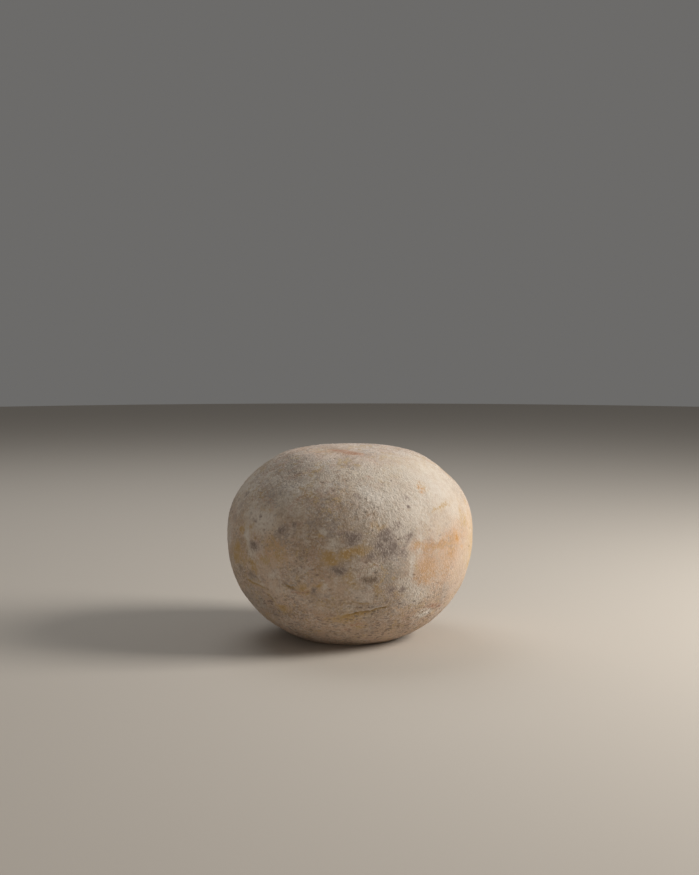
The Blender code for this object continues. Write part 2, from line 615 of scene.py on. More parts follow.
def geometry_of(tree, socket):
    node = tree.nodes.new("GeometryNodeObjectInfo")
    feed(node.inputs["Object"], socket)
    return Flow(node.outputs["Geometry"])


def bowl(share):
    """1 in the middle, easing to 0 at a share of 1 and beyond."""
    share = held(share)
    return (1 - share * share) ** 2


def pit_relief(tree, geometry, at):
    """Depth of the pits, each a little longer than high, and how dark they are."""
    place, (radius, depth, stretch, darkness) = nearest(
        tree, geometry, at, ("radius", "depth", "stretch", "darkness")
    )
    gap = at - place
    along = (at * (1, 1, 0)).cross((0, 0, 1)).unit()
    level = gap.dot(along)
    upright = gap - along.scaled(level)
    level = level / stretch
    upright = upright.length()
    share = (level * level + upright * upright) ** 0.5 / radius
    ragged = noise(at, 1.6 * MM) * 0.5 + 1
    hollow = bowl(share * ragged)
    return hollow * depth, hollow * darkness


def crease_relief(tree, geometry, at):
    """The fall along the creases and the lip above them, and how near each of their parts is."""
    place, (width, depth, lip) = nearest(tree, geometry, at, ("radius", "depth", "lip"))
    gap = at - place
    share = gap.length() / width * (noise(at, 1.8 * MM) * 0.9 + 1)
    groove = (share * share * -1).combined("EXPONENT")
    crack = (share * share * -5).combined("EXPONENT")
    above = eased(gap.parts()[2], 0.0, 0.6 * MM)
    edge = (share - 2.0) * (share - 2.0) * -1
    ridge = edge.combined("EXPONENT") * above
    strength = held(depth / (0.6 * MM))
    rise = lip * ridge - depth * groove * 0.75 - depth * crack * 0.35
    return rise, groove * strength, crack * strength, ridge * strength


def hole_relief(tree, geometry, at):
    place, (radius, depth) = nearest(tree, geometry, at, ("radius", "depth"))
    hollow = bowl((at - place).length() / radius * (noise(at, 1.4 * MM) * 0.7 + 1))
    return hollow * depth, hollow * held(depth * (1 / (0.3 * MM)))


def torn_relief(at, direction):
    """Small flakes that stand up where the top's rim is torn."""
    off_rim = abs((at * (1, 1, 0)).length() - (TOP_RADIUS - RIM_ROUND))
    stretch = eased(off_rim + noise(at, 8 * MM) * (5 * MM), 6.0 * MM, 1.5 * MM) * around(direction, *TORN_RIM)
    crumbs = noise(at, 3.4 * MM, detail=3, roughness=0.7, shift=1.4)
    return eased(crumbs, -0.15, 0.30, -0.25, 1.0) * stretch * MM


def grain_strength(at, direction):
    """How coarse the rind's grain is: most at the front right of the shoulder, least at the far right."""
    patches = eased(noise(at, 48 * MM, detail=1), -0.15, 0.2, 0.35, 0.9)
    coarse = around(direction, 16, 25, 34) * 0.9
    smooth = around(direction, 72, 5, 40) * 0.6
    scurfy = highest(around(direction, 33, -20, 20) * 0.6, around(direction, 47, -33, 15))
    return highest(highest(patches - smooth, coarse), scurfy) + 0.08


def speck_strength(direction):
    """Where the rind is specked: all over, but hardly on the clean right of the shoulder."""
    clean = highest(around(direction, 50, 26, 42), around(direction, 70, -4, 28) * 0.7)
    clean = highest(clean, around(direction, 64, -17, 17) * 0.85)
    pale = highest(around(direction, 20, 22, 30), around(direction, 42, -6, 24)) * 0.65
    return held(1.0 - highest(clean, pale))


def relief_tree(material):
    inputs = {
        "Pits": None,
        "Creases": None,
        "Holes": None,
        "Lump Rise": 0.55 * MM,
        "Ripple Rise": 0.20 * MM,
        "Grain Rise": 0.34 * MM,
        "Crumb Rise": 0.45 * MM,
    }
    tree, given = start_tree("aged_rind", inputs)
    at = position_field(tree)
    direction = (at - (0, 0, BELT_HEIGHT)).unit()
    coarse = grain_strength(at, direction)
    drawn_out = at * (1.0, 1.0, 0.5)
    lumps = noise(at, 19 * MM, detail=1) * given["Lump Rise"]
    ripples = noise(at, 6.5 * MM, detail=1, shift=0.3) * given["Ripple Rise"]
    upright_grain = noise(drawn_out, 1.9 * MM, detail=2, roughness=0.6, shift=0.7)
    even_grain = noise(at, 2.6 * MM, detail=2, roughness=0.6, shift=0.5)
    upright = around(direction, 24, 18, 50)
    grain = blended(upright, even_grain, upright_grain) * coarse * given["Grain Rise"]
    pit_depth, pit = pit_relief(tree, geometry_of(tree, given["Pits"]), at)
    crease_rise, groove, crack, ridge = crease_relief(tree, geometry_of(tree, given["Creases"]), at)
    hole_depth, hole = hole_relief(tree, geometry_of(tree, given["Holes"]), at)
    crumbs = noise(at, 3.4 * MM, detail=2, roughness=0.6, shift=0.9) * around(direction, 10, 24, 24)
    rise = lumps + ripples + grain + torn_relief(at, direction) - 0.12 * MM
    rise = rise + crumbs * given["Crumb Rise"]
    rise = rise + crease_rise - pit_depth - hole_depth
    height = at.parts()[2]
    lifted = eased(height, 0.4 * MM, 5 * MM)
    rise = blended(lifted, abs(rise) * -0.5, rise)
    mesh = given["Mesh"]
    for name, value in (
        ("pit", held(pit + hole)),
        ("groove", groove),
        ("crack", crack),
        ("ridge", ridge),
        ("coarse", coarse),
        ("swell", blended(upright, even_grain, upright_grain)),
        ("specked", speck_strength(direction)),
        ("pitted", pitted_band(tree, direction)),
    ):
        mesh = kept(mesh, name, value)
    mesh = moved(mesh, offset=normal_field(tree).scaled(rise))
    end_tree(tree, mesh, material)
    return tree, inputs


# ---------------------------------------------------------------- stains on the rind
# Each mark: azimuth, elevation, half width, half height, tilt, strength
MOULD = (
    (-64.6, 21.4, 1.5, 1.5, 0, 0.8), (-65.7, 15.3, 2.5, 2.5, 0, 0.4), (-48.5, -1.1, 2.8, 1.6, -10, 1.0),
    (-60.0, -0.6, 1.8, 1.8, 0, 0.4), (-53.0, 11.7, 1.5, 1.5, 0, 0.5), (-49.3, 10.6, 1.1, 1.1, 0, 0.6),
    (-45.7, 13.3, 0.9, 0.9, 0, 0.6), (-31.5, 8.3, 1.8, 1.8, 0, 1.0), (-34.3, 5.6, 1.5, 1.3, 0, 0.7),
    (-25.7, 9.7, 1.1, 1.1, 0, 1.0), (-17.0, 9.5, 1.2, 1.2, 0, 0.7), (-8.4, 9.2, 1.4, 1.3, 0, 0.6),
    (-17.0, -18.9, 1.2, 1.1, 0, 0.8), (-24.3, -10.6, 1.0, 1.0, 0, 0.4), (-5.4, -8.2, 3.4, 1.9, 8, 1.0),
    (-40.7, 0.3, 0.9, 0.9, 0, 0.6), (-22.0, -8.3, 1.0, 1.0, 0, 0.6), (-5.4, 12.8, 2.2, 2.0, 0, 0.45),
    (1.0, 5.7, 2.8, 2.3, 0, 1.0), (-4.0, 6.5, 1.8, 1.0, 0, 0.6), (3.2, 24.8, 1.4, 0.9, -40, 0.8), (5.2, 23.0, 1.4, 0.8, -40, 0.8),
    (14.6, 7.4, 2.2, 1.9, 0, 0.75), (17.0, 5.2, 2.3, 1.9, 0, 0.8), (21.8, 10.8, 1.7, 1.5, 0, 0.65),
    (26.0, 4.2, 1.7, 1.5, 0, 0.75), (12.1, 1.7, 1.4, 1.2, 0, 0.7), (18.8, 1.1, 1.7, 1.6, 0, 0.8),
    (15.4, -1.9, 2.5, 2.1, 20, 1.0), (9.3, -2.2, 1.9, 1.6, 0, 0.8), (23.8, -1.7, 2.1, 1.9, 0, 0.6),
    (18.8, -18.1, 1.9, 1.6, 0, 0.7), (24.3, -18.6, 1.5, 1.4, 0, 0.75), (28.5, 18.6, 0.8, 0.8, 0, 0.8),
    (29.3, 22.8, 1.5, 1.5, 0, 0.4), (-31.5, -40.0, 1.3, 1.2, 0, 0.7), (-25.7, -33.3, 1.0, 0.9, 0, 0.6),
    (-33.2, -33.6, 0.9, 0.8, 0, 0.6), (-44.8, -35.8, 1.3, 1.2, 0, 0.6), (-22.0, -41.0, 0.9, 0.8, 0, 0.6),
    (14.3, -45.0, 0.9, 0.8, 0, 0.6), (23.0, -37.0, 1.3, 1.2, 0, 0.4), (-17.1, -18.5, 1.6, 1.4, 0, 0.6), (15.5, 2.5, 7.5, 5.5, 0, 0.3),
    (-51.1, -14.9, 2.0, 1.4, 0, 0.6), (-69.0, 10.0, 1.6, 2.4, 0, 0.5), (-8.0, -7.6, 1.6, 1.0, 0, 0.5),
)
SMUT = (
    (-52.6, -14.4, 2.0, 1.7, 0, 0.8), (-62.3, -13.3, 1.6, 1.4, 0, 0.7), (7.1, -13.1, 1.9, 1.6, 0, 1.0),
    (10.9, -13.1, 1.8, 1.6, 0, 1.0), (8.2, -2.8, 2.6, 1.8, 0, 0.45), (-29.0, -17.6, 2.6, 0.9, -8, 0.9),
    (45.0, -29.6, 1.4, 0.6, 10, 0.6), (51.9, -33.3, 1.3, 0.6, 10, 0.6), (-49.5, -18.6, 5.5, 0.8, -10, 0.45),
    (-41.5, -24.5, 2.2, 0.9, -60, 0.5), (4.0, 24.5, 1.6, 2.6, -50, 0.55), (24.0, -19.0, 1.5, 1.2, 0, 0.5),
)
RUST = (
    (-17.0, 64.8, 5.0, 1.3, 10, 0.85), (-7.0, 62.5, 4.5, 1.2, -6, 0.95), (1.5, 58.8, 5.0, 1.2, -10, 0.95),
    (7.5, 56.2, 3.5, 1.0, -8, 0.75), (-24.0, 66.0, 4.0, 1.4, 5, 0.5), (-9.0, 59.6, 3.0, 0.9, 0, 0.5),
    (-2.0, 56.0, 3.0, 0.8, -4, 0.45), (5.0, -37.5, 2.2, 0.6, 5, 0.6), (-1.8, -42.0, 1.2, 0.7, 0, 0.8), (11.4, -52.0, 1.1, 0.7, 0, 0.8), (20.6, -52.0, 1.1, 0.7, 0, 0.7),
    (1.4, -38.0, 0.8, 0.6, 0, 0.7), (48.0, -31.0, 5.0, 1.3, 10, 0.55), (9.8, 35.5, 1.6, 1.4, 0, 0.4),
    (-24.0, -19.3, 4.0, 0.7, 8, 0.55), (44.5, -29.8, 1.6, 0.8, 10, 0.9), (48.5, -31.0, 1.5, 0.7, 15, 0.85),
    (51.7, -33.2, 1.6, 0.8, 15, 0.9), (55.3, -31.8, 1.8, 0.8, 10, 0.85),
)
OCHRE = (
    (-9.5, -2.2, 2.4, 2.2, 0, 1.0), (-7.3, -5.0, 1.6, 1.5, 0, 0.8), (0.3, -0.9, 3.3, 1.7, 12, 1.0), (0.0, -1.2, 2.0, 1.0, 0, 0.9), (2.0, -31.2, 5.0, 0.9, 12, 0.9),
    (3.8, 0.0, 2.1, 1.6, 0, 0.75), (8.8, 0.3, 2.0, 1.6, 0, 0.4), (-42.8, 16.3, 3.1, 0.8, -4, 0.85),
    (-58.5, 5.3, 2.5, 1.1, 40, 0.75), (-52.8, 6.2, 1.5, 0.9, 0, 0.6), (-49.5, -10.5, 3.0, 2.2, 0, 0.55),
    (-61.8, -8.8, 5.0, 2.3, 0, 0.6), (-64.7, -5.0, 6.0, 4.0, 0, 0.5), (-15.2, -16.2, 2.6, 1.2, 20, 0.8),
    (-22.8, -17.2, 2.0, 1.6, 0, 0.65), (-12.7, 6.2, 1.6, 1.4, 0, 0.55), (-0.7, -11.2, 3.0, 2.5, 0, 0.5),
    (1.5, -15.5, 2.1, 1.8, 0, 0.55), (15.4, -9.5, 1.6, 1.5, 0, 0.4), (30.5, -8.3, 0.8, 2.5, 0, 0.5),
    (13.2, 9.7, 2.6, 2.3, 0, 0.4), (-1.5, -34.0, 6.5, 2.8, 8, 0.65), (5.8, -39.0, 3.0, 2.4, 0, 0.5),
    (-38.0, -29.0, 1.5, 1.3, 0, 0.85), (-35.5, -31.0, 2.2, 1.2, 0, 0.5), (-9.0, -34.5, 4.0, 2.0, 0, 0.35),
    (48.8, 16.7, 7.0, 1.3, 12, 0.6), (41.5, 28.0, 3.0, 3.4, 25, 0.4), (-36.0, 1.0, 5.5, 3.5, 0, 0.5),
    (-52.0, -18.0, 6.0, 1.2, -12, 0.6), (-42.5, -23.5, 2.5, 1.2, -60, 0.6), (-37.5, -29.0, 3.0, 1.0, -5, 0.7),
    (-20.0, -19.5, 5.0, 1.4, 6, 0.6), (66.5, 8.5, 3.0, 1.2, 60, 0.5), (63.8, 12.8, 5.0, 1.2, 70, 0.4),
    # The wide wash at azimuth 75 is the rind's yellowish tone and also painted shade that tones down the side
    # the key light faces
    (11.0, 10.0, 3.5, 2.0, 0, 0.3), (75.0, 0.0, 9.0, 16.0, 0, 0.35), (-9.0, -3.0, 4.0, 3.0, 0, 0.6),
    (-33.0, -4.5, 4.0, 2.5, 0, 0.45), (-57.0, 4.6, 2.0, 1.4, 0, 0.9), (-63.0, -3.0, 3.0, 2.0, 40, 0.7),
    (-66.0, -9.0, 3.0, 3.0, 50, 0.6), (-13.1, -15.8, 1.6, 0.7, 0, 0.8), (-14.3, -25.5, 1.6, 2.2, 0, 0.45),
    (-24.0, -12.5, 1.2, 1.8, 0, 0.5), (-52.0, -8.0, 4.0, 1.6, -30, 0.5),
)
ORANGE = (
    (57.2, 1.6, 2.3, 2.3, 0, 1.0), (56.6, 4.4, 1.6, 1.4, 0, 0.5), (59.5, 8.0, 1.2, 3.0, 20, 0.3),
    (40.3, 27.6, 1.1, 1.9, 25, 0.7), (39.4, 24.8, 0.9, 0.9, 0, 0.6), (29.8, 0.8, 2.0, 0.7, 0, 0.5),
    (36.5, -0.3, 2.6, 0.8, 5, 0.5), (-33.0, 1.6, 2.4, 1.4, 0, 0.35),
)
AMBER = (
    (-35.7, 0.0, 7.5, 4.8, 0, 0.66), (-30.0, -3.5, 4.0, 3.0, 0, 0.4), (-41.0, -5.0, 5.0, 2.5, 0, 0.4),
    (43.0, -8.0, 13.0, 12.5, 0, 0.5), (35.5, -7.0, 4.0, 8.0, 0, 0.4), (55.5, 3.0, 4.0, 4.0, 0, 0.6), (51.0, 1.5, 6.0, 2.4, 0, 0.6),
    (-36.0, 61.0, 14.0, 4.5, 0, 0.55),
    (29.8, 0.8, 2.8, 1.1, 0, 0.9), (36.5, -0.3, 4.0, 1.4, 5, 0.95),
    (43.5, 0.7, 4.0, 1.5, 8, 0.85), (40.5, 27.8, 1.9, 2.6, 25, 0.6),
    (39.6, 24.6, 1.2, 1.2, 0, 0.7), (41.6, 30.6, 1.0, 1.0, 0, 0.5),
    (52.0, -4.5, 4.0, 3.0, 0, 0.6), (34.0, -14.0, 7.0, 5.0, 0, 0.5), (48.0, -13.0, 6.0, 6.0, 0, 0.42),
    # The wide wash at azimuth 80 is the rind's yellowish tone and also painted shade that tones down the side
    # the key light faces
    (12.0, 34.5, 1.3, 1.2, 0, 0.4), (66.0, 3.0, 6.0, 7.0, 0, 0.4), (80.0, 6.0, 12.0, 20.0, 0, 0.38), (98.0, -10.0, 14.0, 10.0, 0, 0.4),
)
BLOOM = (
    (-45.0, 12.0, 6.0, 4.0, 0, 0.85), (-53.0, 3.0, 2.5, 2.5, 0, 0.8), (-11.8, 8.6, 1.3, 1.2, 0, 0.9),
    (-7.9, 2.4, 2.8, 2.4, 0, 0.6), (33.2, 4.5, 2.2, 2.2, 0, 0.6), (28.2, -6.1, 1.5, 3.2, 0, 0.55),
    (28.2, -11.0, 1.1, 2.4, 0, 0.5), (32.3, -1.7, 1.6, 1.4, 0, 0.5), (42.0, 2.8, 1.4, 1.2, 0, 0.4),
    # The next four marks, on the crumbs low on the right, are pale scurf and a painted highlight where the
    # key light catches them
    (42.0, -32.5, 2.5, 0.9, 35, 0.8), (46.5, -34.7, 3.4, 1.8, 10, 1.0), (46.2, -34.4, 1.8, 1.1, 0, 1.0), (49.5, -35.4, 2.0, 0.9, 0, 0.8),
    (30.0, -19.0, 6.0, 4.0, -20, 0.6), (33.0, -24.0, 5.0, 3.0, 0, 0.5), (25.5, -16.0, 4.0, 3.0, 0, 0.4),
    (8.0, 28.0, 4.0, 2.4, -40, 0.8), (12.5, 25.0, 3.0, 2.0, -30, 0.6), (22.0, -25.0, 6.0, 3.0, 10, 0.12),
    (4.0, -20.0, 6.0, 3.5, 0, 0.15), (-14.0, -27.0, 7.0, 3.0, 0, 0.15), (-33.0, -20.0, 5.0, 2.5, 0, 0.35),
    (-50.7, -4.5, 2.2, 2.0, 0, 0.6), (12.0, 20.0, 7.0, 9.0, -35, 0.35), (-18.0, -24.0, 8.0, 4.0, 0, 0.12), (-44.0, 10.2, 4.5, 3.2, 0, 0.85), (-53.0, 1.0, 1.5, 4.0, 10, 0.4),
    (-50.0, -4.5, 3.0, 1.6, 0, 0.5), (-37.5, -13.5, 4.0, 2.4, 0, 0.5), (-11.3, -16.5, 1.3, 0.9, 0, 0.7),
    (52.0, 27.0, 13.0, 11.0, 0, 0.5), (28.0, 16.0, 12.0, 9.0, 0, 0.6), (-154.0, 57.0, 8.0, 2.0, 0, 0.9), (-2.0, -27.5, 9.0, 2.2, 0, 0.15), (-66.0, 13.0, 3.0, 5.0, 0, 0.4),
)
TAN = (
    (-21.2, 23.8, 4.4, 3.2, 20, 0.8), (-7.3, 20.0, 5.5, 5.0, 0, 0.45), (11.5, 15.5, 5.0, 1.3, -18, 0.5), (-25.7, 67.5, 8.0, 2.5, 0, 0.6),
    (-39.0, 65.8, 8.0, 3.0, 0, 0.6), (-54.0, 60.8, 10.0, 3.0, 0, 0.4), (-30.7, 55.8, 5.0, 2.0, 0, 0.5),
    (-20.0, 9.0, 10.0, 8.0, 0, 0.45), (-6.0, -8.0, 16.0, 9.0, 0, 0.55), (-17.0, -1.0, 9.0, 6.0, 0, 0.4),
    (2.0, 30.0, 12.0, 10.0, 0, 0.3), (0.0, 8.0, 14.0, 8.0, 0, 0.5), (2.0, -29.0, 15.0, 6.0, 0, 0.65), (-4.0, -46.0, 26.0, 7.0, 0, 0.4), (-13.0, -24.0, 10.0, 5.0, 0, 0.45),
    (18.0, -23.0, 10.0, 6.0, 0, 0.45), (-24.0, -12.0, 4.0, 3.0, 0, 0.5), (-46.0, -24.0, 5.0, 4.0, 0, 0.35), (-62.0, 5.0, 10.0, 12.0, 0, 0.4), (104.0, 12.0, 24.0, 18.0, 0, 0.5), (84.0, 44.0, 14.0, 10.0, 0, 0.4),
)
GREY = (
    (-58.2, 45.0, 16.0, 8.0, 0, 0.5), (-41.5, 41.7, 8.0, 5.0, 0, 0.25), (-24.0, 38.0, 10.0, 5.0, 0, 0.2),
    (-45.0, 24.0, 14.0, 7.0, 0, 0.45), (17.0, 2.0, 12.0, 8.0, 0, 0.6), (-62.0, -30.0, 14.0, 6.0, 0, 0.4),
    (12.0, -15.0, 10.0, 5.0, 0, 0.5), (0.0, 12.0, 14.0, 8.0, 0, 0.4), (-54.0, -32.0, 13.0, 9.0, 0, 0.5),
    (20.0, -12.0, 8.0, 10.0, 0, 0.5), (2.0, 20.0, 6.0, 4.0, 0, 0.5), (2.0, 4.0, 14.0, 10.0, 0, 0.7), (-41.7, -33.3, 4.0, 2.4, 0, 0.5), (126.0, 20.0, 18.0, 14.0, 0, 0.45), (88.0, 24.0, 16.0, 13.0, 0, 0.5),
)
# How the marks lie on the hidden sides: count, smallest and largest half width, flattest shape,
# lowest and highest elevation, faintest and strongest
HIDDEN = {
    "mould": (MOULD, 90, 0.7, 2.8, 0.5, -45, 40, 0.3, 1.0),
    "smut": (SMUT, 14, 1.0, 3.0, 0.4, -35, 20, 0.4, 1.0),
    "rust": (RUST, 7, 0.8, 4.0, 0.3, -55, 66, 0.3, 0.7),
    "ochre": (OCHRE, 40, 1.0, 7.0, 0.4, -40, 22, 0.25, 0.85),
    "orange": (ORANGE, 9, 0.7, 2.4, 0.4, -25, 30, 0.3, 0.9),
    "amber": (AMBER, 22, 1.2, 12.0, 0.4, -25, 35, 0.25, 0.75),
    "bloom": (BLOOM, 34, 1.0, 10.0, 0.35, -40, 45, 0.25, 0.8),
    "tan": (TAN, 18, 4.0, 14.0, 0.4, -25, 66, 0.3, 0.65),
    "grey": (GREY, 14, 6.0, 17.0, 0.4, -35, 55, 0.35, 0.7),
}


def gathering_places():
    """Places on the sides and the back around which marks gather, as they do at the front."""
    chance = random.Random(5)
    return [(chance.uniform(84, 280), chance.uniform(-22, 14)) for _ in range(9)]


def hidden_marks(seed, count, least, most, flattest, lowest_place, highest_place, faint, strong):
    """Marks of one kind on the sides and the back: two in three gather, the rest lie anywhere."""
    chance = random.Random(seed)
    places = gathering_places()
    marks = []
    for _ in range(count):
        azimuth, elevation = chance.uniform(76, 288), chance.uniform(lowest_place, highest_place)
        if chance.random() < 0.66:
            near_azimuth, near_elevation = chance.choice(places)
            azimuth = near_azimuth + chance.gauss(0, 9)
            elevation = near_elevation + chance.gauss(0, 7)
        width = least + (most - least) * chance.random() ** 3
        height = width * chance.uniform(flattest, 1.0)
        strength = faint + (strong - faint) * chance.random() ** 1.6
        marks.append((azimuth, elevation, width, height, chance.uniform(-35, 35), strength))
    return marks


def stain_values(azimuths, elevations, marks):
    """For each point of the rind, how strongly the marks of one kind cover it."""
    bare = np.ones(len(azimuths))
    for azimuth, elevation, half_width, half_height, tilt, strength in marks:
        level = (azimuths - azimuth + 180) % 360 - 180
        level = level * math.cos(math.radians(elevation))
        upright = elevations - elevation
        turn = math.radians(tilt)
        along = (level * math.cos(turn) + upright * math.sin(turn)) / half_width
        across = (upright * math.cos(turn) - level * math.sin(turn)) / half_height
        bare *= 1 - strength * np.exp(-0.7 * (along**2 + across**2))
    return 1 - bare


def wandering(mesh):
    """How far, in degrees, the edges of stains wander at each point."""
    return np.array(
        [
            1.5 * turbulence.noise_vector(vertex.co / (9 * MM))
            + 0.8 * turbulence.noise_vector(vertex.co / (4.5 * MM))
            for vertex in mesh.vertices
        ]
    )


def stain(mesh):
    """Stores each kind of stain on the mesh's points."""
    places = np.empty(len(mesh.vertices) * 3)
    mesh.vertices.foreach_get("co", places)
    places = places.reshape(-1, 3) - (0, 0, BELT_HEIGHT)
    azimuths = np.degrees(np.arctan2(places[:, 0], -places[:, 1]))
    elevations = np.degrees(np.arctan2(places[:, 2], np.hypot(places[:, 0], places[:, 1])))
    wander = wandering(mesh)
    azimuths = azimuths + wander[:, 0] / np.cos(np.radians(np.clip(elevations, -75, 75)))
    elevations = elevations + wander[:, 1]
    for seed, (name, (marks, *spread)) in enumerate(HIDDEN.items(), start=40):
        values = stain_values(azimuths, elevations, list(marks) + hidden_marks(seed, *spread))
        mesh.attributes.new(name, "FLOAT", "POINT").data.foreach_set("value", values)


# ---------------------------------------------------------------- the material of the rind
def shade_of(red, green, blue):
    return (red, green, blue, 1.0)


def attribute(tree, name):
    node = tree.nodes.new("ShaderNodeAttribute")
    node.attribute_name = name
    return Flow(node.outputs["Fac"])


def tinted(share, first, second):
    """A colour mixed from first towards second by a share."""
    tree = next(value.tree for value in (share, first, second) if isinstance(value, Flow))
    node = tree.nodes.new("ShaderNodeMix")
    node.data_type = "RGBA"
    feed(node.inputs[0], share)
    feed(node.inputs[6], first)
    feed(node.inputs[7], second)
    return Flow(node.outputs[2])


CREAM = shade_of(0.705, 0.63, 0.535)
WARM = shade_of(0.655, 0.49, 0.365)
ROSY = shade_of(0.66, 0.51, 0.43)
DULL = shade_of(0.46, 0.365, 0.285)
# Pale scurf, also painted on the raised grain and the crease lips as their highlight
SCURF_AND_HIGHLIGHT = shade_of(0.82, 0.765, 0.69)
# Each stain: name, colour where thin, colour where thick, how ragged. Washes lie under the flecks
# and marks over them
WASHES = (
    ("grey", shade_of(0.52, 0.455, 0.385), shade_of(0.42, 0.37, 0.315), 0.8),
    ("tan", shade_of(0.55, 0.43, 0.32), shade_of(0.43, 0.325, 0.23), 0.8),
    ("amber", shade_of(0.68, 0.49, 0.35), shade_of(0.60, 0.36, 0.17), 0.5),
)
MARKS = (
    ("ochre", shade_of(0.61, 0.455, 0.27), shade_of(0.53, 0.345, 0.135), 0.9),
    ("orange", shade_of(0.68, 0.46, 0.28), shade_of(0.57, 0.29, 0.08), 0.6),
    ("rust", shade_of(0.58, 0.385, 0.28), shade_of(0.45, 0.24, 0.155), 1.2),
    ("bloom", shade_of(0.71, 0.64, 0.56), shade_of(0.78, 0.72, 0.645), 1.0),
    ("smut", shade_of(0.42, 0.33, 0.255), shade_of(0.25, 0.19, 0.14), 1.0),
    ("mould", shade_of(0.44, 0.36, 0.31), shade_of(0.26, 0.207, 0.177), 0.95),
)
# Flecks all over the rind: colour, size, where their noise starts and is whole, most cover
FLECKS = (
    (shade_of(0.70, 0.65, 0.60), 7.0, 0.02, 0.28, 0.50),
    (shade_of(0.59, 0.43, 0.34), 8.0, 0.04, 0.28, 0.50),
    (shade_of(0.57, 0.415, 0.20), 4.6, 0.10, 0.30, 0.60),
    (shade_of(0.42, 0.305, 0.22), 3.2, 0.08, 0.28, 0.50),
    (shade_of(0.38, 0.325, 0.30), 2.8, 0.12, 0.30, 0.60),
    (shade_of(0.80, 0.745, 0.675), 2.2, 0.10, 0.30, 0.55),
    (shade_of(0.50, 0.30, 0.17), 1.5, 0.20, 0.36, 0.60),
    (shade_of(0.27, 0.21, 0.175), 1.5, 0.22, 0.38, 0.65),
)
# Brown and grey dirt, also painted as shade in the grain's hollows
BROWN_DIRT_AND_SHADE = shade_of(0.37, 0.255, 0.175)
GREY_DIRT_AND_SHADE = shade_of(0.34, 0.30, 0.28)


def stained(tree, colour, mottle, stains):
    """The colour under each stain in turn: ragged and thin round a broken, thick middle."""
    for name, thin, thick, ragged in stains:
        cover = attribute(tree, name)
        near = eased(cover, 0.0, 0.35)
        mixed = mottle * -1 if name == "bloom" else mottle
        cover = cover * (mixed * (0.9 * ragged) + 1) + mixed * near * (0.45 * ragged)
        colour = tinted(eased(cover, 0.02, 0.65, 0.0, 0.85), colour, thin)
        colour = tinted(eased(cover, 0.40, 1.0, 0.0, 0.8), colour, thick)
    return colour


def flecked(tree, at, colour):
    """The colour with flecks, the small ones drawn out level, which gather in patches."""
    strength = (attribute(tree, "specked") * 0.8 + 0.2) * (1 - attribute(tree, "pitted") * 0.35)
    level = at * (1.0, 1.0, 1.4)
    for number, (shade, size, start, whole, most) in enumerate(FLECKS):
        fleck = noise(at if size > 4 else level, size * MM, detail=3, roughness=0.7, shift=1.3 + number)
        gathered = noise(at, (13 + 3 * number) * MM, detail=1, shift=2.1 + number)
        cover = eased(fleck + gathered * 0.5, start, whole) * most
        colour = tinted(cover * strength, colour, shade)
    return colour


def ridges(tree, at):
    """The finest grain: above 0 on its ridges and below 0 in its hollows."""
    drawn_out = at * (1.0, 1.0, 0.65)
    return noise(drawn_out, 1.05 * MM, detail=2, roughness=0.7)


def rind_colour(tree, at, grain):
    height = at.parts()[2]
    broad = noise(at, 60 * MM, detail=2)
    middling = noise(at, 12 * MM, detail=3, roughness=0.6)
    fine = noise(at, 2.4 * MM, detail=3, roughness=0.7, shift=0.2)
    coarse = attribute(tree, "coarse")
    specked = attribute(tree, "specked")
    pitted = attribute(tree, "pitted")
    cloth = cloth_imprint(tree, at)
    hollow = cloth * 0.16 - grain - attribute(tree, "swell") * 0.4
    low_down = eased(height + broad * (40 * MM), 125 * MM, 25 * MM)
    colour = tinted(held(low_down + middling * 0.5), CREAM, WARM)
    rosy = eased(height + middling * (8 * MM), 128 * MM, 141 * MM, 0.0, 0.6) * (specked * 0.75 + 0.25)
    colour = tinted(rosy, colour, ROSY)
    dull = eased(middling + fine * 0.5 + hollow * 0.3, -0.05, 0.45, 0.0, 0.6) * (specked * 0.7 + 0.3)
    colour = tinted(dull * (1 - pitted * 0.5), colour, DULL)
    mottle = middling * 0.4 + fine * 0.9 + hollow * 0.45
    colour = stained(tree, colour, mottle, WASHES)
    colour = flecked(tree, at, colour)
    colour = stained(tree, colour, mottle, MARKS)
    # Paler on the raised grain: pale scurf and a painted highlight on the grain's ridges
    colour = tinted(eased(hollow, -0.10, -0.55, 0.0, 0.55) * (coarse * 0.75 + 0.2), colour, SCURF_AND_HIGHLIGHT)
    # Darker in the grain's hollows: dirt and painted shade
    dirt_and_shade = tinted(eased(noise(at, 5 * MM, shift=3.4), -0.12, 0.12), BROWN_DIRT_AND_SHADE, GREY_DIRT_AND_SHADE)
    colour = tinted(eased(hollow, 0.10, 0.60, 0.0, 0.6) * (coarse * 0.45 + specked * 0.35), colour, dirt_and_shade)
    # Dark in the pits, the holes and the small pits: their brown and the painted shade inside them
    colour = tinted(attribute(tree, "pit") * 0.92, colour, shade_of(0.25, 0.19, 0.16))
    colour = tinted(small_pits(tree, at) * 0.85, colour, shade_of(0.26, 0.20, 0.17))
    # Paler along the lip above each crease: pale scurf and a painted highlight
    colour = tinted(attribute(tree, "ridge") * 0.35, colour, SCURF_AND_HIGHLIGHT)
    # Ochre along the creases and dark brown in their cracks: an ochre stain and painted shade where the rind
    # folds in
    colour = tinted(attribute(tree, "groove") * 0.65, colour, shade_of(0.55, 0.385, 0.165))
    return tinted(attribute(tree, "crack") * 0.9, colour, shade_of(0.38, 0.25, 0.09))


